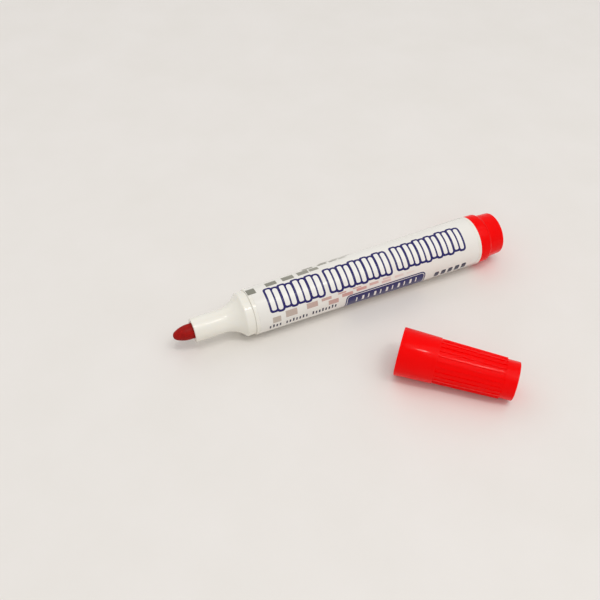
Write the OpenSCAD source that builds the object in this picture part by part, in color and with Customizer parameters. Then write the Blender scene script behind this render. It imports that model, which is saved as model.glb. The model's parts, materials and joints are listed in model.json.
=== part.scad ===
// Whiteboard marker with its cap off and lying beside it.
// A bullet nib sits in a trumpet-shaped nozzle, an ink reservoir fills the barrel,
// and a pull-out plug closes the tail. The ribbed cap holds a sealing liner.
// Lengths are in millimetres. +X runs from the nib to the tail, +Z is up,
// and the origin is the centre of the whole set's footprint on the table.

/* [Nib] */
// Radius of the felt nib
nib_r = 2.6; // [2.4:0.05:2.7]
// Radius of the rounded point
nib_point_r = 1.6; // [1.2:0.1:2.0]
// Radius of the long curve between point and shank
nib_side_r = 9; // [7:0.5:12]
// Length of felt that stands out of the nozzle
nib_out = 6.6; // [6.2:0.1:8]
// Length of the full-width shank inside the nozzle
nib_shank = 7.4; // [5:0.1:7.4]
// Radius of the thin rod that feeds the nib
nib_rod_r = 1.9; // [1.2:0.1:2.2]

/* [Nozzle] */
// Radius of the straight tube round the nib
tube_r = 4.1; // [4:0.05:4.2]
// Length of the straight tube
tube_len = 10.1; // [9:0.1:11]
// Length of the trumpet between tube and ring
flare_len = 6.8; // [6.2:0.1:7.2]
// Radius of the ring in front of the barrel
ring_r = 7.55; // [7.5:0.05:7.7]
// Length of the ring
ring_len = 2.8; // [2:0.1:4]
// Length of the plug end that is pressed into the barrel
spigot_len = 8.4; // [6:0.1:12]
// Radial play of the nib in its hole
nib_play = 0.05; // [0.02:0.01:0.08]

/* [Barrel] */
// Radius at the front edge
barrel_front_r = 7.95; // [7.9:0.05:8.1]
// Radius at the rear edge
barrel_rear_r = 8.9; // [8.8:0.05:9.1]
// Length of the barrel
barrel_len = 86.15; // [80:0.05:100]
// Radius of the bore at the front
bore_front_r = 7.2; // [7:0.05:7.3]
// Radius of the bore at the rear
bore_rear_r = 7.7; // [7.6:0.05:7.8]
// Number of ribs that hold the reservoir off the wall
rib_count = 6; // [3:1:8]
// Width of a rib
rib_w = 0.9; // [0.6:0.1:1.5]
// Thickness of the printed film
film_t = 0.12; // [0.08:0.01:0.2]
// Bare rim at each end of the film
film_rim = 1.2; // [0.8:0.1:3]

/* [Ink reservoir] */
// Radius of the fibre core
core_r = 6.2; // [5.8:0.05:6.2]
// Thickness of the film round the core
wrap_t = 0.15; // [0.1:0.01:0.16]
// Depth of the hole that takes the nib's rod
rod_hole = 5; // [3:0.5:8]

/* [Tail plug] */
// Radius of the flange behind the barrel
flange_r = 8.75; // [8.6:0.05:8.8]
// Length of the flange's full-width edge
flange_len = 3.8; // [2:0.1:4.5]
// Length of the slope from flange to knob
flange_slope = 1.8; // [1:0.1:3]
// Radius of the knob beside the flange
knob_front_r = 7.85; // [7.6:0.05:8]
// Radius of the knob at its end
knob_rear_r = 7.6; // [7.4:0.05:7.8]
// Length of the knob
knob_len = 4.55; // [4:0.05:8]
// Rounding of the knob's end edge
knob_round = 0.5; // [0.3:0.1:1.2]
// Length of the skirt inside the barrel
skirt_len = 11.2; // [8:0.1:12]
// Radial play of the skirt in the barrel
skirt_play = 0.05; // [0.02:0.01:0.08]
// Wall of the plug
plug_wall = 1.15; // [0.9:0.05:1.4]

/* [Cap] */
// Radius at the mouth
cap_mouth_r = 7.95; // [7.9:0.05:8]
// Radius at the end of the smooth collar
cap_collar_r = 7.54; // [7.45:0.01:7.6]
// Length of the smooth collar
cap_collar_len = 12.3; // [11:0.1:13]
// Wall of the collar
cap_wall = 0.9; // [0.8:0.05:1]
// Radius of the ribbed stretch at its front, between ribs
grip_front_r = 7.11; // [7.05:0.01:7.2]
// Radius of the ribbed stretch at its rear, between ribs
grip_rear_r = 6.49; // [6.45:0.01:6.55]
// Length of the ribbed stretch
grip_len = 21; // [18:0.5:22]
// Number of ribs round the cap
grip_count = 26; // [12:1:32]
// Height of a rib
grip_h = 0.22; // [0.15:0.01:0.25]
// Width of a rib
grip_w = 0.4; // [0.3:0.05:0.6]
// Radius at the closed end
cap_end_r = 6.3; // [6.2:0.05:6.4]
// Length of the plain stretch at the closed end
cap_end_len = 4.2; // [3:0.1:6]
// Rounding of the closed end's edge
cap_round = 0.4; // [0.3:0.1:0.9]
// Thickness of the closed end
cap_floor = 1.3; // [1:0.1:2]

/* [Cap liner] */
// Outer radius of the liner
liner_r = 5.4; // [5.3:0.05:5.4]
// Radial play of the nozzle in the liner
liner_play = 0.05; // [0.02:0.01:0.08]
// Distance of the liner's lip from the mouth
liner_lip = 6.5; // [6.4:0.1:7]
// Depth of the liner's floor below the mouth
liner_depth = 24.5; // [23.5:0.1:26]
// Thickness of the liner's floor
liner_floor = 1.2; // [0.8:0.1:2]
// Length of liner that is pressed into the closed end
liner_press = 5.4; // [4:0.1:6]

/* [Cap on the table] */
// Distance of the mouth's centre behind the nib's point
cap_lie_x = 64.3; // [55:0.1:75]
// Distance of the mouth's centre beside the barrel's axis
cap_lie_y = -34.95; // [-45:0.05:-30]
// Heading of the closed end, counted from +X
cap_heading = -41.3; // [-55:0.1:-30]

/* [Hidden] */
$fn = 96;

// Stations along the marker, counted from the nib's point
nib_base = nib_point_r + sqrt(pow(nib_side_r - nib_point_r, 2) - pow(nib_side_r - nib_r, 2));
flare_at = nib_out + tube_len;
ring_at = flare_at + flare_len;
barrel_at = ring_at + ring_len;
spigot_end = barrel_at + spigot_len;
tail_at = barrel_at + barrel_len;
plug_end = tail_at + flange_len + flange_slope + knob_len;
skirt_at = tail_at - skirt_len;
shank_end = nib_out + nib_shank;

// Nozzle
rise = ring_r - tube_r;
flare_r = (rise * rise + flare_len * flare_len) / (2 * rise);
nib_hole_r = nib_r + nib_play;
throat_r = nib_hole_r + 0.4;
throat_end = flare_at + 1.5;
chamber_at = ring_at + 1.7;
edge = 0.3;

// Ink reservoir
wrap_r = core_r + wrap_t;
chamber_r = wrap_r + 0.1;
core_at = barrel_at - 0.6;
core_end = skirt_at - 1.4;

// Barrel
taper = (barrel_rear_r - barrel_front_r) / barrel_len;
film_at = barrel_at + film_rim;
film_end = tail_at - film_rim;
rib_at = spigot_end + 4;
rib_end = core_end - 1;
rib_top = wrap_r + 0.07;
function barrel_r(s) = barrel_front_r + taper * (s - barrel_at);

// Tail plug
skirt_r = bore_rear_r - skirt_play;
plug_hole_r = skirt_r - plug_wall;
plug_floor = 1.4;
press_rib_w = 1.2;
press_rib_at = core_end + 0.4;

// Cap
cap_grip_end = cap_collar_len + grip_len;
cap_len = cap_grip_end + cap_end_len;
cap_floor_at = cap_len - cap_floor;
cap_press_at = cap_floor_at - liner_press;
mouth_chamfer = 0.45;
liner_bore_r = tube_r + liner_play;
grip_slope = atan((grip_front_r - grip_rear_r) / grip_len);
grip_root = 0.3;

// How the marker lies: the barrel's side touches the table
marker_tilt = atan(taper);
point_z = barrel_front_r * cos(marker_tilt) - barrel_at * sin(marker_tilt);

// How the cap lies: on its mouth and on the ends of the lowest ribs
cap_tilt = atan((cap_mouth_r - grip_rear_r - grip_h) / cap_grip_end);
cap_z = cap_mouth_r * cos(cap_tilt);

// Footprint of the set: nib's point to plug's end, barrel's far side to the cap's end edge
foot_x = plug_end * cos(marker_tilt);
cap_reach = (cap_len - cap_round) * cos(cap_tilt) * sin(-cap_heading)
          + (cap_end_r - cap_round) * cos(cap_heading) + cap_round;
foot_y_min = cap_lie_y - cap_reach;
foot_mid_x = foot_x / 2;
foot_mid_y = (barrel_rear_r + foot_y_min) / 2;

// Puts a piece that is built along +Z from the nib's point where the marker lies
module on_marker() {
  translate([-foot_mid_x, -foot_mid_y, point_z]) rotate([0, 90 - marker_tilt, 0]) children();
}

// Puts a piece that is built along +Z from the cap's mouth where the cap lies
module on_cap() {
  translate([cap_lie_x - foot_mid_x, cap_lie_y - foot_mid_y, cap_z])
    rotate([0, 90 + cap_tilt, cap_heading]) children();
}

// Block of half-section between two stations
module band(r, from, to) {
  translate([0, from]) square([r, to - from]);
}

module barrel() {
  color("ivory") on_marker() {
    rotate_extrude() polygon([
      [bore_front_r, barrel_at],
      [barrel_front_r, barrel_at],
      [barrel_r(film_at), film_at],
      [barrel_r(film_at) - film_t, film_at],
      [barrel_r(film_end) - film_t, film_end],
      [barrel_r(film_end), film_end],
      [barrel_rear_r, tail_at],
      [bore_rear_r, tail_at],
      [bore_rear_r, skirt_at - 1],
      [bore_front_r, spigot_end]
    ]);
    for (i = [0:rib_count - 1]) {
      rotate([0, 0, i * 360 / rib_count])
        translate([rib_top, -rib_w / 2, rib_at])
          cube([bore_rear_r + 0.1 - rib_top, rib_w, rib_end - rib_at]);
    }
  }
}

module label_film() {
  color("white") on_marker() rotate_extrude() polygon([
    [barrel_r(film_at) - film_t, film_at],
    [barrel_r(film_at), film_at],
    [barrel_r(film_end), film_end],
    [barrel_r(film_end) - film_t, film_end]
  ]);
}

module front_section() {
  color("ivory") on_marker() rotate_extrude() difference() {
    union() {
      band(tube_r, nib_out + edge, flare_at);
      band(tube_r - edge, nib_out, flare_at);
      translate([tube_r - edge, nib_out + edge]) circle(r = edge, $fn = 32);
      difference() {
        band(ring_r, flare_at, ring_at);
        translate([tube_r + flare_r, flare_at]) circle(r = flare_r);
      }
      band(ring_r, ring_at, barrel_at);
      band(bore_front_r, barrel_at, spigot_end);
    }
    band(nib_hole_r, nib_out - edge, shank_end);
    polygon([
      [0, shank_end - edge],
      [throat_r, shank_end - edge],
      [throat_r, throat_end],
      [chamber_r, chamber_at],
      [chamber_r, spigot_end + edge],
      [0, spigot_end + edge]
    ]);
  }
}

module nib() {
  // Where the rounded point runs into the long side curve
  join = nib_base - nib_side_r * (nib_base - nib_point_r) / (nib_side_r - nib_point_r);
  color("firebrick") on_marker() rotate_extrude() {
    intersection() {
      translate([0, nib_point_r]) circle(r = nib_point_r);
      band(nib_point_r, 0, 2 * nib_point_r);
    }
    intersection() {
      translate([nib_r - nib_side_r, nib_base]) circle(r = nib_side_r);
      band(nib_r, join, nib_base);
    }
    band(nib_r, nib_base, shank_end - edge);
    band(nib_rod_r, nib_base, core_at + rod_hole);
  }
}

module ink_reservoir() {
  color("indianred") on_marker() difference() {
    translate([0, 0, core_at]) cylinder(r = core_r, h = core_end - core_at);
    translate([0, 0, core_at - 1]) cylinder(r = nib_rod_r, h = rod_hole + 1);
  }
}

module reservoir_wrap() {
  color("lightgray") on_marker() rotate_extrude()
    translate([core_r, core_at]) square([wrap_t, core_end - core_at]);
}

module tail_plug() {
  color("red") on_marker() {
    rotate_extrude() difference() {
      union() {
        polygon([
          [0, skirt_at],
          [skirt_r - 0.5, skirt_at],
          [skirt_r, skirt_at + 1.5],
          [skirt_r, tail_at],
          [flange_r, tail_at],
          [flange_r, tail_at + flange_len],
          [knob_front_r, tail_at + flange_len + flange_slope],
          [knob_rear_r, plug_end - knob_round],
          [0, plug_end - knob_round]
        ]);
        band(knob_rear_r - knob_round, plug_end - 2 * knob_round, plug_end);
        translate([knob_rear_r - knob_round, plug_end - knob_round]) circle(r = knob_round, $fn = 32);
      }
      band(plug_hole_r, skirt_at - 1, plug_end - plug_floor);
    }
    // Crossed plates that stop the reservoir from sliding back
    for (turn = [0, 90]) {
      rotate([0, 0, turn])
        translate([-plug_hole_r - 0.1, -press_rib_w / 2, skirt_at])
          cube([2 * plug_hole_r + 0.2, press_rib_w, plug_end - plug_floor + 0.1 - skirt_at]);
    }
    translate([0, 0, press_rib_at]) cylinder(r = press_rib_w * 2, h = plug_end - plug_floor - press_rib_at);
  }
}

module cap_shell() {
  color("red") on_cap() {
    rotate_extrude() difference() {
      union() {
        polygon([
          [0, 0],
          [cap_mouth_r, 0],
          [cap_collar_r, cap_collar_len],
          [grip_front_r, cap_collar_len],
          [grip_rear_r, cap_grip_end],
          [cap_end_r, cap_len - cap_round],
          [0, cap_len - cap_round]
        ]);
        band(cap_end_r - cap_round, cap_len - 2 * cap_round, cap_len);
        translate([cap_end_r - cap_round, cap_len - cap_round]) circle(r = cap_round, $fn = 32);
      }
      polygon([
        [0, -1],
        [cap_mouth_r - cap_wall + mouth_chamfer + 1, -1],
        [cap_mouth_r - cap_wall, mouth_chamfer],
        [cap_collar_r - cap_wall, cap_collar_len - 1],
        [grip_front_r - cap_wall, cap_collar_len],
        [liner_r + 0.1, cap_press_at],
        [liner_r, cap_press_at + 0.3],
        [liner_r, cap_floor_at],
        [0, cap_floor_at]
      ]);
    }
    for (i = [0:grip_count - 1]) {
      rotate([0, 0, i * 360 / grip_count])
        translate([grip_front_r, 0, cap_collar_len])
          rotate([0, -grip_slope, 0])
            translate([-grip_root, -grip_w / 2, 0])
              cube([grip_root + grip_h, grip_w, grip_len / cos(grip_slope)]);
    }
  }
}

module cap_inner_seal() {
  color("mistyrose") on_cap() rotate_extrude() difference() {
    polygon([
      [0, liner_lip],
      [liner_r - edge, liner_lip],
      [liner_r, liner_lip + 2 * edge],
      [liner_r, cap_floor_at],
      [0, cap_floor_at]
    ]);
    polygon([
      [0, liner_lip - 1],
      [liner_bore_r + edge + 1, liner_lip - 1],
      [liner_bore_r, liner_lip + edge],
      [liner_bore_r, liner_depth],
      [0, liner_depth]
    ]);
    band(liner_bore_r, liner_depth + liner_floor, cap_floor_at + 1);
  }
}

barrel();
label_film();
front_section();
nib();
ink_reservoir();
reservoir_wrap();
tail_plug();
cap_shell();
cap_inner_seal();
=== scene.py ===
# %% [markdown]
# # A whiteboard marker with its cap off
# This lesson finishes a bullet-nib whiteboard marker that lies on a pale table beside its red cap.
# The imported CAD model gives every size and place. Each piece that shows is modelled again with finer
# edges, and gets a finish worked out from what it is made of.

# %% Load the frame
import json
import math

import bpy
from mathutils import Matrix, Vector

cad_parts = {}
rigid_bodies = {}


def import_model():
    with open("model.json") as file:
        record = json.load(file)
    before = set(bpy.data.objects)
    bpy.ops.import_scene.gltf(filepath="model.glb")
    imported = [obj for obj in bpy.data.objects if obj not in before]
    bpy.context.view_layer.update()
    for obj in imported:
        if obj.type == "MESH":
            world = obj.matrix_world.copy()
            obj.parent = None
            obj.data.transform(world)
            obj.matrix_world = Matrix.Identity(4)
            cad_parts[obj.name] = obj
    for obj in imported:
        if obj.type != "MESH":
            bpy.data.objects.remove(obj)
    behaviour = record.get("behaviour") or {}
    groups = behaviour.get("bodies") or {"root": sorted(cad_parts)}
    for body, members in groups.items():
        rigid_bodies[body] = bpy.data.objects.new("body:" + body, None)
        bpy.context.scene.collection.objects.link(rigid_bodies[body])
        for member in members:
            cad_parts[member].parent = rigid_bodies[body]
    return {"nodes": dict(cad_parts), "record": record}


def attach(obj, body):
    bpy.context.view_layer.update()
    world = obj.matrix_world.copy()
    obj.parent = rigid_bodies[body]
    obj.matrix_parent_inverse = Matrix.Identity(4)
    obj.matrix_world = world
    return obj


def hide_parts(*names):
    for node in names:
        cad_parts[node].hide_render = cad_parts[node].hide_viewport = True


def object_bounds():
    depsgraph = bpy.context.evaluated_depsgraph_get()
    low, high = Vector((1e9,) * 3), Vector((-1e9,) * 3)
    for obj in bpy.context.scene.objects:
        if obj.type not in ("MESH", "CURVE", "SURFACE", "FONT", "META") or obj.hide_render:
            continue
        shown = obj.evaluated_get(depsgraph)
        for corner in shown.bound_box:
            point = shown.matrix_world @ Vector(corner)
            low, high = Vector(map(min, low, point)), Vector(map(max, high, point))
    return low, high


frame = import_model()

cad_low, cad_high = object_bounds()
record = frame["record"]
mounts = {mount["name"]: mount for mount in record["mounts"]}
print("CAD box, mm:", [round((high - low) * 1000, 1) for low, high in zip(cad_low, cad_high)])

# %% [markdown]
# ## Two axes to build on
# The marker and the cap are both turned shapes, each lying at its own slight tilt. It is easiest to build
# every piece standing on the origin, with +Z as its axis, and to lay it down at the end. The flat ends of
# the plug and of the cap are mounts in the record, so they give each axis and where it is.
# On a lying piece the local +X side then faces down, and the local -Y side of the marker faces the viewer.

# %% Where the marker and the cap lie
MM = 0.001


def lying(origin, axis):
    """The place of a piece built up +Z from its origin, laid along axis."""
    side = Vector((0, 0, 1)).cross(axis).normalized()
    down = side.cross(axis)
    turn = Matrix((down, side, axis)).transposed().to_4x4()
    return Matrix.Translation(origin) @ turn


marker_axis = Vector(mounts["tail_end"]["axis"]).normalized()
tail_end = Vector(mounts["tail_end"]["pos_m"])
nib_point = tail_end + marker_axis * (cad_low.x - tail_end.x) / marker_axis.x
marker_place = lying(nib_point, marker_axis)

cap_axis = Vector(mounts["cap_end"]["axis"]).normalized()
cap_end = Vector(mounts["cap_end"]["pos_m"])
cap_corners = [v.co for v in frame["nodes"]["cap_shell"].data.vertices]
cap_length = max((cap_end - corner).dot(cap_axis) for corner in cap_corners)
cap_place = lying(cap_end - cap_axis * cap_length, cap_axis)


def reach(node, place):
    """First station, last station and largest radius of a CAD node about an axis, in mm."""
    own = [place.inverted() @ v.co for v in frame["nodes"][node].data.vertices]
    stations = [p.z / MM for p in own]
    return min(stations), max(stations), max(p.xy.length for p in own) / MM


nib_from, rod_to, nib_r = reach("nib", marker_place)
rim_at, spigot_to, ring_r = reach("front_section", marker_place)
barrel_at, tail_at, barrel_rear_r = reach("barrel", marker_place)
film_at, film_to, _ = reach("label_film", marker_place)
core_at, core_to, core_r = reach("ink_reservoir", marker_place)
_, _, wrap_r = reach("reservoir_wrap", marker_place)
skirt_at, plug_to, flange_r = reach("tail_plug", marker_place)
mouth_at, cap_to, mouth_r = reach("cap_shell", cap_place)
lip_at, liner_to, liner_r = reach("cap_inner_seal", cap_place)
print(f"marker {plug_to:.1f} mm, barrel {barrel_at:.1f} to {tail_at:.1f} mm, cap {cap_to:.1f} mm")

# %% [markdown]
# ## Camera
# The viewer stands over the nib end and looks down across the marker. The camera is given by what it aims
# at on the table, its distance and its two angles, so that it can be read like a note from a studio.

# %% Camera
AIM = Vector((-13.7, 32.7, 0)) * MM
DISTANCE = 282.1 * MM
AZIMUTH = math.radians(-25.2)
ELEVATION = math.radians(46.6)
ROLL = math.radians(1.13)

forward = Vector((-math.sin(AZIMUTH) * math.cos(ELEVATION),
                  math.cos(AZIMUTH) * math.cos(ELEVATION),
                  -math.sin(ELEVATION)))
bpy.ops.object.camera_add(location=AIM - forward * DISTANCE)
camera = bpy.context.object
camera.name = "camera"
look = forward.to_track_quat("-Z", "Y").to_matrix()
camera.rotation_euler = (look @ Matrix.Rotation(ROLL, 3, "Z")).to_euler()
camera.data.lens = 48
camera.data.sensor_width = 36
camera.data.clip_start = 0.01
bpy.context.scene.camera = camera
print("camera at, mm:", [round(c / MM) for c in camera.location])

# %% [markdown]
# ## Colours and nodes
# Colours are easiest to pick as the hex values seen on a screen, but a shader needs linear light, so one
# function turns them. Another adds a node with its settings, values and links in one line, which keeps each
# material short enough to read.


# %% Helpers for materials
def linear(hex_colour):
    """A screen colour such as #e8e6e0 as linear red, green, blue and alpha."""
    channels = [int(hex_colour[i:i + 2], 16) / 255 for i in (1, 3, 5)]
    return [c / 12.92 if c <= 0.04045 else ((c + 0.055) / 1.055) ** 2.4 for c in channels] + [1.0]


def add_node(material, kind, values=None, links=None, **settings):
    """Adds a shader node: settings are its properties, values and links go to its inputs."""
    made = material.node_tree.nodes.new("ShaderNode" + kind)
    for name, value in settings.items():
        setattr(made, name, value)
    for name, value in (values or {}).items():
        made.inputs[name].default_value = value
    for name, source in (links or {}).items():
        material.node_tree.links.new(source, made.inputs[name])
    return made


def new_material(name):
    """An empty material and its Principled shader, already wired to the output."""
    material = bpy.data.materials.new(name)
    material.use_nodes = True
    material.node_tree.nodes.clear()
    shader = add_node(material, "BsdfPrincipled")
    add_node(material, "OutputMaterial", links={"Surface": shader.outputs["BSDF"]})
    return material, shader


def own_millimetres(material, place):
    """Object coordinates turned to a piece's own upright axes, in millimetres."""
    turn = place.to_3x3().transposed()
    spot = add_node(material, "TexCoord").outputs["Object"]
    return add_node(material, "Mapping", links={"Vector": spot}, values={
        "Scale": (1 / MM,) * 3,
        "Rotation": turn.to_euler(),
        "Location": turn @ place.translation * (-1 / MM)}).outputs["Vector"]


def grain(material, spot, size, detail=3.0, stretch=(1, 1, 1)):
    """Noise whose lumps are size millimetres across, longer along the axes that are stretched."""
    scaled = add_node(material, "Mapping", links={"Vector": spot},
                      values={"Scale": tuple(1 / (size * s) for s in stretch)})
    return add_node(material, "TexNoise", links={"Vector": scaled.outputs["Vector"]},
                    values={"Scale": 1.0, "Detail": detail, "Roughness": 0.55}).outputs["Fac"]


def spread(material, source, low, high):
    """Stretches a 0 to 1 pattern to run from low to high."""
    limits = {"From Min": 0.3, "From Max": 0.7, "To Min": low, "To Max": high}
    return add_node(material, "MapRange", links={"Value": source}, values=limits).outputs["Result"]


def raise_by(material, shader, height, millimetres, strength=1.0, below=None):
    """Feeds a 0 to 1 height pattern to the shader as relief of that many millimetres."""
    links = {"Height": height}
    if below is not None:
        links["Normal"] = below
    relief = add_node(material, "Bump", links=links,
                      values={"Strength": strength, "Distance": millimetres * MM}).outputs["Normal"]
    material.node_tree.links.new(relief, shader.inputs["Normal"])
    return relief


# %% [markdown]
# ## Finishes
# Barrel, nozzle, plug and cap are injection-moulded polypropylene: smooth where the mould was polished, with
# a very faint flow waviness that bends reflections. Thin red polypropylene lets some light through, so it
# gets a little subsurface scattering. The nib is bonded polyester fibre soaked in ink, and the print is
# a glossy ink layer a few hundredths of a millimetre thick.

# %% Moulded plastics
POLYPROPYLENE_IOR = 1.49


def moulded_plastic(name, place, face, shade, rough, sink, shine=0.5, glow=0.0, glow_colour="#ffffff",
                    glow_mm=0.6):
    """Moulded polypropylene: face and shade are its two tones, sink the depth of its flow waves in mm."""
    material, shader = new_material(name)
    spot = own_millimetres(material, place)
    flow = grain(material, spot, 9.0, detail=2.0, stretch=(1, 1, 3))
    fine = grain(material, spot, 0.35, detail=4.0)
    tone = add_node(material, "Mix", data_type="RGBA", links={"Factor": spread(material, flow, 0.0, 1.0)},
                    values={"A": linear(face), "B": linear(shade)})
    material.node_tree.links.new(tone.outputs["Result"], shader.inputs["Base Color"])
    gloss = spread(material, fine, rough - 0.03, rough + 0.03)
    material.node_tree.links.new(gloss, shader.inputs["Roughness"])
    shader.inputs["IOR"].default_value = POLYPROPYLENE_IOR
    shader.inputs["Specular IOR Level"].default_value = shine
    shader.inputs["Subsurface Weight"].default_value = glow
    shader.inputs["Subsurface Radius"].default_value = linear(glow_colour)[:3]
    shader.inputs["Subsurface Scale"].default_value = glow_mm * MM
    waves = raise_by(material, shader, flow, sink)
    raise_by(material, shader, fine, 0.004, below=waves)
    return material


# Natural white polypropylene, polished mould: warm white, mid gloss
white_pp = moulded_plastic("white_polypropylene_moulded", marker_place, "#f2efe6", "#ece8dd", 0.13, 0.02,
                           glow=0.15, glow_colour="#fff2dd", glow_mm=0.8)
# Red-pigmented polypropylene: deep, slightly see-through where thin, low shine so that the red stays deep
plug_red_pp = moulded_plastic("red_polypropylene_plug", marker_place, "#fb0000", "#f40000", 0.14, 0.02,
                              shine=0.1, glow=0.1, glow_colour="#ff2a20", glow_mm=0.9)
cap_red_pp = moulded_plastic("red_polypropylene_cap", cap_place, "#fb0000", "#f40000", 0.12, 0.03,
                             shine=0.1, glow=0.1, glow_colour="#ff2a20", glow_mm=0.9)
# Natural polyethylene liner: milky, waxy
liner_pe = moulded_plastic("natural_polyethylene_liner", cap_place, "#e9e4df", "#ded6d0", 0.45, 0.02,
                           glow=0.4, glow_colour="#fff0e6", glow_mm=1.0)
# Transfer film over the barrel: the same white, a shade glossier than the moulding
film_white = moulded_plastic("printed_film_white", marker_place, "#f1eee8", "#edeae3", 0.17, 0.012)
print("plastics:", [m.name for m in (white_pp, plug_red_pp, cap_red_pp, liner_pe, film_white)])

# %% Fibres, film and ink


def fibre(name, place, dark, bright, rough, fibre_mm, relief_mm, wet):
    """Bonded polyester fibre that runs along the axis, soaked in ink; wet is its share of wet gloss."""
    material, shader = new_material(name)
    spot = own_millimetres(material, place)
    strands = grain(material, spot, fibre_mm, detail=5.0, stretch=(1, 1, 6))
    blotches = grain(material, spot, 1.6, detail=3.0)
    tone = add_node(material, "Mix", data_type="RGBA", links={"Factor": spread(material, strands, 0.0, 1.0)},
                    values={"A": linear(dark), "B": linear(bright)})
    deep = add_node(material, "Mix", data_type="RGBA", blend_type="MULTIPLY",
                    links={"Factor": spread(material, blotches, 0.0, 0.5), "A": tone.outputs["Result"]},
                    values={"B": linear("#c86a5c")})
    material.node_tree.links.new(deep.outputs["Result"], shader.inputs["Base Color"])
    shader.inputs["Roughness"].default_value = rough
    shader.inputs["Coat Weight"].default_value = wet
    shader.inputs["Coat Roughness"].default_value = 0.35
    shader.inputs["Specular IOR Level"].default_value = 0.12
    raise_by(material, shader, strands, relief_mm)
    return material


nib_felt = fibre("ink_soaked_polyester_felt", marker_place, "#8e0a05", "#b8120a", 0.6, 0.18, 0.05, 0.08)
core_fibre = fibre("ink_soaked_polyester_core", marker_place, "#b3252a", "#d9585a", 0.75, 0.25, 0.05, 0.1)


def clear_wrap():
    """Thin polypropylene film round the core: clear, slightly milky."""
    material, shader = new_material("clear_film_wrap")
    spot = own_millimetres(material, marker_place)
    creases = grain(material, spot, 2.5, detail=3.0, stretch=(1, 1, 4))
    shader.inputs["Base Color"].default_value = linear("#f0d9d6")
    shader.inputs["Roughness"].default_value = 0.18
    shader.inputs["IOR"].default_value = POLYPROPYLENE_IOR
    shader.inputs["Alpha"].default_value = 0.55
    raise_by(material, shader, creases, 0.05)
    return material


wrap_film = clear_wrap()


def printed_ink(name, tone, worn, rough=0.3):
    """Screen-printed ink: even colour, with the faint mottle of a thin layer."""
    material, shader = new_material(name)
    spot = own_millimetres(material, marker_place)
    mottle = grain(material, spot, 0.25, detail=3.0)
    mixed = add_node(material, "Mix", data_type="RGBA", links={"Factor": spread(material, mottle, 0.0, 1.0)},
                     values={"A": linear(tone), "B": linear(worn)})
    material.node_tree.links.new(mixed.outputs["Result"], shader.inputs["Base Color"])
    shader.inputs["Roughness"].default_value = rough
    shader.inputs["IOR"].default_value = POLYPROPYLENE_IOR
    raise_by(material, shader, mottle, 0.002)
    return material


navy_ink = printed_ink("navy_screen_ink", "#150c5c", "#1c1466")
white_ink = printed_ink("white_screen_ink", "#f4f3ee", "#eeece6")
black_ink = printed_ink("blue_black_screen_ink", "#1b1738", "#262148")


def fading_ink(name, near, far, fade_from, fade_to):
    """Silvery ink that fades into the white of the film along the barrel, between two stations in mm."""
    material, shader = new_material(name)
    spot = own_millimetres(material, marker_place)
    along = add_node(material, "SeparateXYZ", links={"Vector": spot}).outputs["Z"]
    share = add_node(material, "MapRange", links={"Value": along}, interpolation_type="SMOOTHSTEP",
                     values={"From Min": fade_from, "From Max": fade_to}).outputs["Result"]
    tone = add_node(material, "ValToRGB", links={"Fac": share})
    ramp = tone.color_ramp
    ramp.elements[0].color = linear(near)
    ramp.elements[1].color = linear("#efece5")
    ramp.elements.new(0.55).color = linear(far)
    material.node_tree.links.new(tone.outputs["Color"], shader.inputs["Base Color"])
    mottle = grain(material, spot, 0.3, detail=3.0)
    material.node_tree.links.new(spread(material, mottle, 0.28, 0.42), shader.inputs["Roughness"])
    raise_by(material, shader, mottle, 0.002)
    return material


silver_ink = fading_ink("silver_ink_fading", "#858478", "#a09d92", 24.0, 84.0)
rose_ink = fading_ink("rose_ink_fading", "#bfb6aa", "#d39d97", 24.0, 98.0)
print("inks:", [m.name for m in (navy_ink, white_ink, black_ink, silver_ink, rose_ink)])

# %% [markdown]
# ## Turning a piece
# Every main piece here is round about its axis, so it is made as on a lathe: one point is drawn out into
# half of the cross-section and spun through a full turn. The half outline runs through the whole wall and
# back to its start, so the spun shape is a closed skin with no hidden faces. Round edges are short arcs in
# the outline, which is cheaper and cleaner than bevelling a finished ring.


# %% Helpers for turned pieces
def start_clean():
    """Leaves edit mode and deselects everything, the CAD nodes too."""
    if bpy.context.mode != "OBJECT":
        bpy.ops.object.mode_set(mode="OBJECT")
    bpy.ops.object.select_all(action="DESELECT")


def arc(radius, station, bend, start, end, steps=6):
    """Points of a round edge: bend is its radius, start and end are degrees from straight outwards."""
    angles = [math.radians(start + (end - start) * i / steps) for i in range(steps + 1)]
    return [(radius + bend * math.cos(a), station + bend * math.sin(a)) for a in angles]


def turned(name, outline, sides=128):
    """Spins a closed half outline of (radius, station) points, in mm, into a piece that stands on +Z."""
    start_clean()
    bpy.ops.mesh.primitive_plane_add(size=MM)
    piece = bpy.context.object
    piece.name = name
    piece.data.name = name
    bpy.ops.object.mode_set(mode="EDIT")
    bpy.ops.mesh.select_mode(type="VERT")
    bpy.ops.mesh.select_all(action="SELECT")
    bpy.ops.mesh.merge(type="CENTER")
    bpy.ops.transform.translate(value=(outline[0][0] * MM, 0, outline[0][1] * MM))
    for (r0, s0), (r1, s1) in zip(outline, outline[1:] + outline[:1]):
        bpy.ops.mesh.extrude_vertices_move(
            TRANSFORM_OT_translate={"value": ((r1 - r0) * MM, 0, (s1 - s0) * MM)})
    bpy.ops.mesh.select_all(action="SELECT")
    bpy.ops.mesh.spin(steps=sides, angle=2 * math.pi, center=(0, 0, 0), axis=(0, 0, 1))
    bpy.ops.mesh.select_all(action="SELECT")
    bpy.ops.mesh.remove_doubles(threshold=0.0005 * MM)
    bpy.ops.mesh.normals_make_consistent(inside=False)
    bpy.ops.object.mode_set(mode="OBJECT")
    return piece


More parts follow.
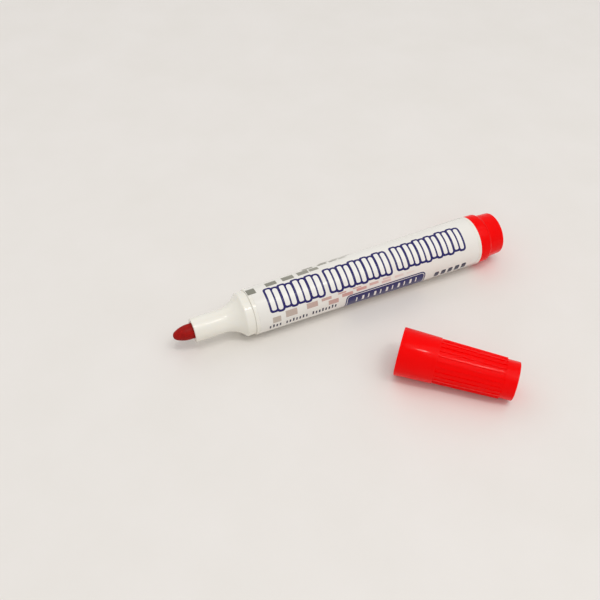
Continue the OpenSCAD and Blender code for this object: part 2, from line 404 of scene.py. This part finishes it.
def settle(piece, place, body, slot, material, *nodes, sharp=32):
    """Lays a finished piece down, smooths it, gives it its finish and hands it to its body."""
    start_clean()
    piece.select_set(True)
    bpy.context.view_layer.objects.active = piece
    piece.matrix_world = place
    bpy.ops.object.transform_apply(location=True, rotation=True, scale=True)
    bpy.ops.object.shade_smooth_by_angle(angle=math.radians(sharp))
    piece.data.materials.clear()
    piece.data.materials.append(material)
    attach(piece, body)
    if nodes:
        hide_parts(*nodes)
    print(f"{piece.name}: {len(piece.data.polygons)} faces")
    return piece


# %% [markdown]
# ## Nozzle
# The front section is one moulding: a straight tube that holds the nib, a trumpet that widens to the collar
# ring, and a spigot that is pressed into the barrel. The trumpet is a single hollow arc, so it could be
# a bent cone or a lofted surface, but as a turned piece it is one arc in the outline.

# %% Nozzle
tube_r = mounts["nozzle"]["dims"]["r_mm"]
tube_middle = (marker_place.inverted() @ Vector(mounts["nozzle"]["pos_m"])).z / MM
trumpet_at = tube_middle + mounts["nozzle"]["dims"]["length_mm"] / 2
RING_LENGTH = 2.8
ring_at = barrel_at - RING_LENGTH
rise, run = ring_r - tube_r, ring_at - trumpet_at
trumpet_bend = (rise ** 2 + run ** 2) / (2 * rise)
trumpet_angle = math.degrees(math.asin(run / trumpet_bend))
shank_to = 13.7
nib_hole_r, rim_hole_r = nib_r + 0.05, 3.05
throat_r = nib_hole_r + 0.4
spigot_r, bore_r = 7.2, wrap_r + 0.1
RIM_EDGE, RING_EDGE = 0.3, 0.2

nozzle_outline = (
    [(nib_hole_r, shank_to), (nib_hole_r, rim_at + 0.7),
     (rim_hole_r, rim_at + 0.1), (rim_hole_r + 0.1, rim_at)]
    + arc(tube_r - RIM_EDGE, rim_at + RIM_EDGE, RIM_EDGE, -90, 0)
    + arc(tube_r + trumpet_bend, trumpet_at, trumpet_bend, 180, 180 - trumpet_angle + 1.5, 24)
    + arc(ring_r - RING_EDGE, ring_at + RING_EDGE, RING_EDGE, -40, 0, 4)
    + arc(ring_r - RING_EDGE, barrel_at - RING_EDGE, RING_EDGE, 0, 90)
    + [(spigot_r, barrel_at), (spigot_r, spigot_to - 0.4), (spigot_r - 0.3, spigot_to),
       (bore_r, spigot_to), (bore_r, ring_at + 1.7), (throat_r, trumpet_at + 1.5), (throat_r, shank_to)])
nozzle = turned("nozzle", nozzle_outline, sides=192)
settle(nozzle, marker_place, "marker", "white_plastic", white_pp, "front_section")

# %% [markdown]
# ## Barrel and its printed film
# The barrel is a plain tube that widens a little towards the tail. The printed film lies in a shallow
# recess, so its surface is flush with the two bare rims, and only a hairline shows where it starts.
# Six thin ribs inside hold the ink core off the wall; one is shaped from a cube and copied round.

# %% Barrel
barrel_front_r = 7.95
taper = (barrel_rear_r - barrel_front_r) / (tail_at - barrel_at)
FILM = 0.12
SKIRT_BORE_R = 7.7
BARREL_EDGE = 0.25


def barrel_r(station):
    return barrel_front_r + taper * (station - barrel_at)


barrel_outline = (
    [(spigot_r, barrel_at + 0.1), (spigot_r + 0.1, barrel_at)]
    + arc(barrel_front_r - BARREL_EDGE, barrel_at + BARREL_EDGE, BARREL_EDGE, -90, 0)
    + [(barrel_r(film_at), film_at), (barrel_r(film_at) - FILM, film_at + 0.05),
       (barrel_r(film_to) - FILM, film_to - 0.05), (barrel_r(film_to), film_to)]
    + arc(barrel_rear_r - BARREL_EDGE, tail_at - BARREL_EDGE, BARREL_EDGE, 0, 90)
    + [(SKIRT_BORE_R + 0.2, tail_at), (SKIRT_BORE_R, tail_at - 0.2), (SKIRT_BORE_R, skirt_at - 1),
       (spigot_r, spigot_to)])
barrel = turned("barrel", barrel_outline, sides=192)

RIB_COUNT, RIB_WIDTH = 6, 0.9
rib_from, rib_to = spigot_to + 4, core_to - 1
rib_inner = wrap_r + 0.07
start_clean()
for i in range(RIB_COUNT):
    bpy.ops.mesh.primitive_cube_add(size=1, location=(0, 0, 0))
    rib = bpy.context.object
    bpy.ops.object.mode_set(mode="EDIT")
    rib_size = (SKIRT_BORE_R - rib_inner, RIB_WIDTH, rib_to - rib_from)
    bpy.ops.transform.resize(value=[length * MM for length in rib_size])
    bpy.ops.mesh.bevel(offset=0.15 * MM, segments=2)
    bpy.ops.transform.translate(value=((SKIRT_BORE_R + rib_inner) / 2 * MM, 0, (rib_from + rib_to) / 2 * MM))
    bpy.ops.object.mode_set(mode="OBJECT")
    rib.matrix_world = Matrix.Rotation(math.tau * i / RIB_COUNT, 4, "Z")
    bpy.ops.object.transform_apply(location=True, rotation=True, scale=True)
    rib.select_set(False)
    rib.name = f"rib_{i}"
for i in range(RIB_COUNT):
    bpy.data.objects[f"rib_{i}"].select_set(True)
barrel.select_set(True)
bpy.context.view_layer.objects.active = barrel
bpy.ops.object.join()
settle(barrel, marker_place, "marker", "white_plastic", white_pp, "barrel")

# %% Printed film
film_outline = [(barrel_r(film_at) - FILM, film_at + 0.06), (barrel_r(film_at) - 0.03, film_at + 0.03),
                (barrel_r(film_at + 0.1), film_at + 0.1), (barrel_r(film_to - 0.1), film_to - 0.1),
                (barrel_r(film_to) - 0.03, film_to - 0.03), (barrel_r(film_to) - FILM, film_to - 0.06)]
film = turned("label_film_sleeve", film_outline, sides=192)
settle(film, marker_place, "marker", "print_film", film_white, "label_film")

# %% [markdown]
# ## Print
# The label is screen printed: a wide line of outlined bars, checks that fade along the barrel, a dark badge
# and two small lines. The shapes are plain and spell nothing, so the part can be used under any name.
# Every shape is modelled flat on the unrolled label, where z runs along the barrel, x runs round it from
# the top towards the viewer, and -y is outwards. One bend then rolls a whole layer of ink to a tube and one
# taper fits it to the barrel's cone. A bend only moves points, so the layer is first cut into narrow strips.

# %% Helpers for the print
label_r = barrel_r(0)
INK = 0.02
UNDER, OVER = 0.01, 0.035
STRIP = 0.5


def flat_bar(s_from, s_to, v_from, v_to, corner, level=UNDER, lean=0.0, line=None):
    """A rounded bar of ink, in mm along and round the label; a line leaves only a rim of that width."""
    middle = (s_from + s_to) / 2
    shrink = label_r / barrel_r(middle)
    start_clean()
    bpy.ops.mesh.primitive_plane_add(size=MM, rotation=(math.pi / 2, 0, 0))
    bar = bpy.context.object
    bpy.ops.object.transform_apply(location=True, rotation=True, scale=True)
    bpy.ops.object.mode_set(mode="EDIT")
    bpy.ops.mesh.select_mode(type="VERT")
    bpy.ops.mesh.select_all(action="SELECT")
    bpy.ops.transform.resize(value=((v_to - v_from) * shrink, 1, s_to - s_from))
    bpy.ops.transform.translate(value=((v_from + v_to) / 2 * shrink * MM, -level * MM, middle * MM))
    bpy.ops.mesh.bevel(offset=corner * MM, segments=4, affect="VERTICES")
    if line:
        bpy.ops.mesh.select_all(action="SELECT")
        bpy.ops.mesh.inset(thickness=line * MM)
        bpy.ops.mesh.delete(type="FACE")
    if lean:
        bpy.ops.object.mode_set(mode="OBJECT")
        for corner_point in bar.data.vertices:
            corner_point.select = corner_point.co.x < (v_from + v_to) / 2 * shrink * MM
        bpy.ops.object.mode_set(mode="EDIT")
        bpy.ops.transform.translate(value=(0, 0, lean * MM))
    bpy.ops.mesh.select_all(action="SELECT")
    bpy.ops.mesh.extrude_region_move(TRANSFORM_OT_translate={"value": (0, -INK * MM, 0)})
    bpy.ops.mesh.select_all(action="SELECT")
    bpy.ops.mesh.normals_make_consistent(inside=False)
    bpy.ops.object.mode_set(mode="OBJECT")
    return bar


def weld(pieces):
    """Unites overlapping solids into the first of them."""
    first = pieces[0]
    for other in pieces[1:]:
        start_clean()
        first.select_set(True)
        bpy.context.view_layer.objects.active = first
        union = first.modifiers.new("union", "BOOLEAN")
        union.operation = "UNION"
        union.object = other
        bpy.ops.object.modifier_apply(modifier=union.name)
        bpy.data.objects.remove(other)
    return first


def join(pieces):
    """Makes one object of pieces that lie apart."""
    start_clean()
    for piece in pieces:
        piece.select_set(True)
    bpy.context.view_layer.objects.active = pieces[0]
    bpy.ops.object.join()
    return pieces[0]


def print_layer(name, bars, material):
    """Rolls a flat layer of ink round the barrel and fixes it to the marker."""
    layer = join(bars)
    layer.name = name
    layer.data.name = name
    edges = [v.co.x for v in layer.data.vertices]
    first_cut = math.ceil(min(edges) / (STRIP * MM))
    last_cut = math.floor(max(edges) / (STRIP * MM))
    bpy.ops.object.mode_set(mode="EDIT")
    for cut in range(first_cut, last_cut + 1):
        bpy.ops.mesh.select_all(action="SELECT")
        bpy.ops.mesh.bisect(plane_co=(cut * STRIP * MM, 0, 0), plane_no=(1, 0, 0))
    bpy.ops.object.mode_set(mode="OBJECT")
    roll = layer.modifiers.new("roll", "SIMPLE_DEFORM")
    roll.deform_method = "BEND"
    roll.deform_axis = "Z"
    roll.angle = (max(edges) - min(edges)) / (label_r * MM)
    bpy.ops.object.modifier_apply(modifier=roll.name)
    layer.matrix_world = Matrix.Rotation(-math.pi / 2, 4, "Z") @ Matrix.Translation((0, -label_r * MM, 0))
    bpy.ops.object.transform_apply(location=True, rotation=True, scale=True)
    heights = [v.co.z / MM for v in layer.data.vertices]
    cone = layer.modifiers.new("cone", "SIMPLE_DEFORM")
    cone.deform_method = "TAPER"
    cone.deform_axis = "Z"
    cone.factor = taper / label_r * (max(heights) - min(heights))
    bpy.ops.object.modifier_apply(modifier=cone.name)
    return settle(layer, marker_place, "marker", "print_film", material)


# %% [markdown]
# ## Outlined bars
# Three groups of tall white bars, two by two, stand on one navy shape that runs half a millimetre past them.
# The navy bars overlap, so they are united; the white ones lie apart on top of them.

# %% Outlined bars
OUTLINE, THIN_GAP, WIDE_GAP = 0.75, 0.62, 0.9
TOPS = (0.0, 0.5, 0.2, 0.75)
FEET = (0.5, 0.0, 0.75, 0.2)
navy_bars, white_bars = [], []
for group_from, group_to, pairs in ((32.3, 50.9, 4), (53.8, 76.2, 5), (79.2, 105.3, 6)):
    pair = (group_to - group_from + WIDE_GAP) / pairs
    width = (pair - THIN_GAP - WIDE_GAP) / 2
    for i in range(2 * pairs):
        start = group_from + i // 2 * pair + i % 2 * (width + THIN_GAP)
        top = 0.2 - start * 0.002 + TOPS[i % 4] * 0.8
        foot = 8.0 + start * 0.006 - FEET[i % 4] * 0.8
        round_by = (0.44 if i % 2 else 0.3) * width
        white_bars.append(flat_bar(start, start + width, top, foot, round_by, OVER))
        navy_bars.append(flat_bar(start - OUTLINE, start + width + OUTLINE, top - OUTLINE, foot + OUTLINE,
                                  round_by + OUTLINE * 0.6))
print(len(white_bars), "bars")
print_layer("print_bars_navy", [weld(navy_bars)], navy_ink)

# %% [markdown]
# ## Badge and small lines
# The badge is a navy field with a thin white line just inside its edge and a row of slanted white strokes.
# The two small lines become rows of short slanted strokes.

# %% Badge and small lines
print_layer("print_badge", [flat_bar(58.6, 89.4, 11.7, 19.3, 1.6)], navy_ink)
white_bars.append(flat_bar(59.05, 88.95, 12.15, 18.85, 1.25, OVER, line=0.2))
for i in range(11):
    start = 61.6 + 2.3 * i
    white_bars.append(flat_bar(start, start + 0.45 + 0.35 * (i % 2), 13.5, 15.9, 0.18, OVER, lean=0.9))
print_layer("print_bars_white", white_bars, white_ink)

strokes = []
for i in range(21):
    if i not in (4, 12):
        start = 30.2 + 1.19 * i
        strokes.append(flat_bar(start, start + 0.55, 13.5 - 0.35 * (i % 3 == 1), 15.0, 0.15, lean=0.5))
for i in range(5):
    strokes.append(flat_bar(92.8 + 2.75 * i, 94.6 + 2.75 * i, 14.5, 17.3, 0.45, lean=0.6))
print_layer("print_strokes", strokes, black_ink)

# %% [markdown]
# ## Checks
# Slanted checks start strong at the front edge and fade along the barrel, silver above the bars and turning
# rosy below them. The fading is in the ink, so each check is a plain bar here.

# %% Checks
# Each check: where it starts, its length, its upper edge, its height and how far its upper edge is shifted
CHECK_CORNER = 0.08
SILVER_CHECKS = (
    (27.4, 3.0, -2.9, 2.9, -0.9), (32.2, 3.9, -3.4, 2.2, 1.3), (37.7, 4.2, -3.6, 2.3, 1.8),
    (43.4, 4.0, -3.7, 2.2, 1.8), (47.8, 3.3, -3.4, 1.7, 1.8), (46.0, 3.8, -5.3, 1.3, 1.9),
    (51.6, 3.4, -5.1, 1.4, 1.9), (56.0, 3.0, -5.0, 1.3, 1.8), (52.8, 3.0, -6.7, 1.2, 1.9),
    (57.4, 3.0, -6.6, 1.1, 1.8), (59.8, 2.6, -4.9, 1.2, 1.6), (61.5, 2.8, -6.3, 1.0, 1.6))
ROSY_CHECKS = (
    (31.2, 2.9, 10.2, 2.3, 0.7), (37.1, 4.1, 9.3, 2.5, -0.5), (43.6, 4.0, 9.3, 2.0, 0.6),
    (49.2, 3.6, 9.3, 1.0, 0.5), (51.3, 3.7, 10.9, 1.8, 0.8), (55.4, 3.0, 9.3, 0.5, 0.4),
    (56.6, 4.0, 10.1, 1.2, 0.6), (62.0, 3.8, 9.9, 1.0, 0.6), (61.0, 3.2, 9.3, 0.35, 0.3),
    (67.0, 3.4, 9.5, 0.9, 0.6), (71.6, 3.6, 10.3, 0.8, 0.6), (72.2, 3.0, 9.4, 0.6, 0.5),
    (76.8, 3.4, 9.9, 0.8, 0.5), (81.5, 3.0, 10.1, 0.6, 0.4))
for name, checks, ink in (("print_checks_silver", SILVER_CHECKS, silver_ink),
                          ("print_checks_rosy", ROSY_CHECKS, rose_ink)):
    bars = [flat_bar(start, start + length, top, top + height, CHECK_CORNER, lean=tip)
            for start, length, top, height, tip in checks]
    print_layer(name, bars, ink)

# %% [markdown]
# ## Nib
# The writing point is a bullet of bonded polyester fibre, ground round, with a thin rod behind it that
# draws ink from the core. The felt is turned like the rest, and a fine noise displacement then roughens its
# skin, because a perfectly smooth bullet would read as plastic.

# %% Nib
point_bend, side_bend = 1.6, 9.0
nib_base = nib_from + point_bend + math.sqrt((side_bend - point_bend) ** 2 - (side_bend - nib_r) ** 2)
lean = math.degrees(math.atan2(nib_base - point_bend, side_bend - nib_r))
rod_r = 1.9
nib_outline = (
    arc(0, point_bend, point_bend, -90, -lean, 10)
    + arc(nib_r - side_bend, nib_base, side_bend, -lean, 0, 14)[1:]
    + [(nib_r, (nib_base + shank_to) / 2), (nib_r, shank_to - 0.2), (nib_r - 0.2, shank_to),
       (rod_r, shank_to),
       (rod_r, rod_to - 0.3), (rod_r - 0.3, rod_to), (0, rod_to)])
nib = turned("nib_felt", nib_outline)
roughness = nib.modifiers.new("felt skin", "DISPLACE")
roughness.texture = bpy.data.textures.new("felt skin", "CLOUDS")
roughness.texture.noise_scale = 0.35 * MM
roughness.strength = 0.10 * MM
roughness.mid_level = 0.75
start_clean()
nib.select_set(True)
bpy.context.view_layer.objects.active = nib
bpy.ops.object.modifier_apply(modifier=roughness.name)
settle(nib, marker_place, "marker", "nib_felt", nib_felt, "nib", sharp=60)

# %% [markdown]
# ## Ink core and its wrap
# Inside the barrel lies a rod of loose fibre that holds the ink, in a sleeve of thin film. They only show
# when the plug is out, from behind, so they are plain turned pieces with softly rounded ends.

# %% Core and wrap
ROD_HOLE = 5
core_outline = (
    [(0, core_at + ROD_HOLE), (rod_r, core_at + ROD_HOLE), (rod_r, core_at)]
    + arc(core_r - 0.4, core_at + 0.4, 0.4, -90, 0, 4)
    + arc(core_r - 0.4, core_to - 0.4, 0.4, 0, 90, 4)
    + [(core_r * 0.5, core_to - 0.25), (0, core_to - 0.1)])
core = turned("ink_core", core_outline, sides=64)
settle(core, marker_place, "marker", "reservoir_fibre", core_fibre, "ink_reservoir")
wrap_outline = [(core_r + 0.01, core_at), (wrap_r, core_at), (wrap_r, core_to), (core_r + 0.01, core_to)]
wrap = turned("core_wrap", wrap_outline, sides=64)
settle(wrap, marker_place, "marker", "reservoir_film", wrap_film, "reservoir_wrap")

# %% [markdown]
# ## Tail plug
# The red plug closes the barrel and pulls out for a refill. Outside it has a flange as wide as the barrel,
# a soft hollow curve down to a slightly tapered knob, and a flat end. Inside, a skirt grips the bore and
# two crossed plates stop the ink core from sliding back.

# %% Tail plug
FLANGE_EDGE, HOLLOW, KNOB_EDGE = 0.5, 0.8, 0.5
PLATE_THICKNESS = 1.2
flange_to = tail_at + 3.8
knob_front_r, knob_rear_r = 7.85, 7.6
skirt_r, skirt_hole_r = SKIRT_BORE_R - 0.05, 6.5
floor_at = plug_to - 1.4
plug_outline = (
    [(skirt_hole_r, floor_at - 0.4), (skirt_hole_r, skirt_at + 0.1), (skirt_hole_r + 0.15, skirt_at),
     (skirt_r - 0.5, skirt_at), (skirt_r, skirt_at + 1.5), (skirt_r, tail_at + 0.02)]
    + arc(flange_r - 0.15, tail_at + 0.17, 0.15, -90, 0, 3)
    + arc(flange_r - FLANGE_EDGE, flange_to - FLANGE_EDGE + 0.15, FLANGE_EDGE, 0, 62)
    + arc(knob_front_r + HOLLOW, flange_to + 1.15, HOLLOW, 242, 180)
    + arc(knob_rear_r - KNOB_EDGE, plug_to - KNOB_EDGE, KNOB_EDGE, 0, 90, 8)
    + [(knob_rear_r - 1.6, plug_to), (knob_rear_r - 1.9, plug_to - 0.2), (0.9, plug_to - 0.2),
       (0.7, plug_to - 0.05), (0, plug_to - 0.05), (0, floor_at), (skirt_hole_r - 0.4, floor_at)])
plug = turned("tail_plug_body", plug_outline)
for turn in (0, 90):
    start_clean()
    bpy.ops.mesh.primitive_cube_add(size=1, location=(0, 0, 0))
    plate = bpy.context.object
    bpy.ops.object.mode_set(mode="EDIT")
    plate_size = (2 * skirt_hole_r + 0.2, PLATE_THICKNESS, floor_at + 0.1 - skirt_at)
    bpy.ops.transform.resize(value=[length * MM for length in plate_size])
    bpy.ops.transform.translate(value=(0, 0, (floor_at + 0.1 + skirt_at) / 2 * MM))
    bpy.ops.object.mode_set(mode="OBJECT")
    plate.matrix_world = Matrix.Rotation(math.radians(turn), 4, "Z")
    bpy.ops.object.transform_apply(location=True, rotation=True, scale=True)
    weld([plug, plate])
settle(plug, marker_place, "tail_plug", "red_plastic", plug_red_pp, "tail_plug")

# %% [markdown]
# ## Cap shell
# The cap is one red moulding: a smooth collar at the mouth, a ribbed grip, and a plain closed end. The
# shell is turned with a fixed number of sides for each rib. The faces that become ribs are then picked by
# their angle and pushed outwards, so that shell and ribs stay one skin.

# %% Cap shell
COLLAR_LENGTH, GRIP_LENGTH = 12.3, 21.0
collar_r, grip_front_r, grip_rear_r, end_r = 7.54, 7.11, 6.49, 6.3
CAP_WALL, END_EDGE = 0.9, 0.4
COLLAR_EDGE = 0.2
GRIP_RIBS, SIDES_PER_RIB, RIB_HEIGHT = 26, 6, 0.22
grip_to = COLLAR_LENGTH + GRIP_LENGTH
floor_of_cap, press_at = cap_to - 1.3, cap_to - 6.7
cap_outline = (
    [(mouth_r - CAP_WALL + 0.45, 0.05)]
    + arc(mouth_r - 0.2, 0.2, 0.2, -90, 0, 4)
    + arc(collar_r - COLLAR_EDGE, COLLAR_LENGTH - COLLAR_EDGE, COLLAR_EDGE, 0, 90)
    + [(grip_front_r + 0.02, COLLAR_LENGTH), (grip_front_r, COLLAR_LENGTH + 0.1),
       (grip_rear_r, grip_to - 0.15), (grip_rear_r - 0.05, grip_to),
       (end_r, grip_to + 0.05)]
    + arc(end_r - END_EDGE, cap_to - END_EDGE, END_EDGE, 0, 90, 8)
    + [(1.0, cap_to), (0.8, cap_to - 0.12), (0, cap_to - 0.12), (0, floor_of_cap), (liner_r, floor_of_cap),
       (liner_r, press_at + 0.3), (liner_r + 0.1, press_at), (grip_front_r - CAP_WALL, COLLAR_LENGTH),
       (collar_r - CAP_WALL, COLLAR_LENGTH - 1), (mouth_r - CAP_WALL, 0.5)])
cap_shell = turned("cap_shell_ribbed", cap_outline, sides=GRIP_RIBS * SIDES_PER_RIB)
bpy.ops.object.mode_set(mode="EDIT")
bpy.ops.mesh.select_mode(type="FACE")
bpy.ops.mesh.select_all(action="DESELECT")
bpy.ops.object.mode_set(mode="OBJECT")
pitch = math.tau / GRIP_RIBS
picked = 0
for face in cap_shell.data.polygons:
    middle = face.center / MM
    beside = (math.atan2(middle.y, middle.x) - pitch / 2 / SIDES_PER_RIB) % pitch
    on_rib = beside < 0.01 or beside > pitch - 0.01
    outside = middle.xy.length > grip_rear_r - 0.1 and face.normal.xy.length > 0.9
    face.select = on_rib and outside and COLLAR_LENGTH + 0.1 < middle.z < grip_to
    picked += face.select
bpy.ops.object.mode_set(mode="EDIT")
bpy.ops.mesh.extrude_region_shrink_fatten(TRANSFORM_OT_shrink_fatten={"value": RIB_HEIGHT * MM})
bpy.ops.mesh.bevel(offset=0.06 * MM, segments=2)
bpy.ops.object.mode_set(mode="OBJECT")
print("ribs:", picked)
half_rib = Matrix.Rotation(-pitch / 2 / SIDES_PER_RIB, 4, "Z")
settle(cap_shell, cap_place @ half_rib, "cap", "red_plastic", cap_red_pp, "cap_shell")

# %% [markdown]
# ## Cap liner
# A soft sleeve inside the cap slides over the nozzle tube and keeps the nib from drying out.
# It is a deep cup with a hollow foot, pressed into the closed end.

# %% Cap liner
socket = mounts["cap_socket"]["dims"]
socket_r = socket["r_mm"]
socket_to = lip_at + 0.3 + socket["length_mm"]
liner_outline = [
    (0, socket_to), (socket_r, socket_to), (socket_r, lip_at + 0.3), (socket_r + 0.3, lip_at),
    (liner_r - 0.3, lip_at), (liner_r - 0.02, lip_at + 0.6), (liner_r - 0.02, liner_to), (socket_r, liner_to),
    (socket_r, socket_to + 1.2), (0, socket_to + 1.2)]
liner = turned("cap_liner", liner_outline, sides=96)
settle(liner, cap_place, "cap", "liner_plastic", liner_pe, "cap_inner_seal")

# %% [markdown]
# ## Table and light
# A pale table, a broad soft light from behind like a window, a broad panel above and an even pale surround.
# A highlight shows where a surface mirrors a lamp to the viewer. So each small lamp is placed by choosing
# where its highlight should lie and reflecting the line of sight there.

# %% Table and light
table_material, table_shader = new_material("pale_laminate_table")
table_spot = own_millimetres(table_material, Matrix.Identity(4))
table_grain = grain(table_material, table_spot, 30.0, detail=4.0)
table_tone = add_node(table_material, "Mix", data_type="RGBA",
                      links={"Factor": spread(table_material, table_grain, 0.0, 1.0)},
                      values={"A": linear("#ebe7e3"), "B": linear("#e8e4df")})
table_material.node_tree.links.new(table_tone.outputs["Result"], table_shader.inputs["Base Color"])
table_shader.inputs["Roughness"].default_value = 0.5
start_clean()
bpy.ops.mesh.primitive_plane_add(size=4)
table = bpy.context.object
table.name = "table"
table.data.materials.append(table_material)


LAMP_DISTANCE, PANEL_DISTANCE = 1.3, 1.2


def soft_light(name, towards, distance, size, watts, tint, target=Vector(), along=Vector((1, 0, 0))):
    """A rectangular area light in that direction from its target, long side along the given line."""
    direction = Vector(towards).normalized()
    side = (along - direction * along.dot(direction)).normalized()
    facing = Matrix((side, direction.cross(side), direction)).transposed()
    start_clean()
    bpy.ops.object.light_add(type="AREA", location=target + direction * distance)
    lamp = bpy.context.object
    lamp.name = name
    lamp.rotation_euler = facing.to_euler()
    lamp.data.shape = "RECTANGLE"
    lamp.data.size, lamp.data.size_y = size
    lamp.data.energy = watts
    lamp.data.color = linear(tint)[:3]
    return lamp


def glint(name, place, radius, station, height, size, watts):
    """A small lamp whose highlight lies at that station, height degrees up the near side of a piece."""
    axis = place.to_3x3().col[2]
    up = (Vector((0, 0, 1)) - axis * axis.z).normalized()
    near = axis.cross(up)
    if near.dot(camera.location) < 0:
        near = -near
    tip = math.radians(height)
    normal = near * math.cos(tip) + up * math.sin(tip)
    spot = place @ Vector((0, 0, station * MM)) + normal * radius * MM
    view = (camera.location - spot).normalized()
    mirrored = 2 * normal.dot(view) * normal - view
    print(name, "stands towards", [round(c, 2) for c in mirrored])
    return soft_light(name, mirrored, LAMP_DISTANCE, size, watts, "#fffdf8", spot, axis)


soft_light("window", (-0.25, 0.75, 0.75), PANEL_DISTANCE, (0.9, 0.9), 1.1, "#ffffff")
soft_light("ceiling_panel", (0.20, -0.30, 0.93), PANEL_DISTANCE, (1.1, 1.1), 3.4, "#ffffff")
glint("marker_lamp", marker_place, 7.5, 22, 58, (0.36, 0.06), 1.5)
glint("cap_lamp", cap_place, 7.3, 13.5, 64, (0.12, 0.05), 1.6)
world = bpy.data.worlds.new("surround")
world.use_nodes = True
world.node_tree.nodes["Background"].inputs["Color"].default_value = linear("#f4f3f2")
world.node_tree.nodes["Background"].inputs["Strength"].default_value = 0.665
bpy.context.scene.world = world
bpy.context.scene.view_settings.view_transform = "Standard"
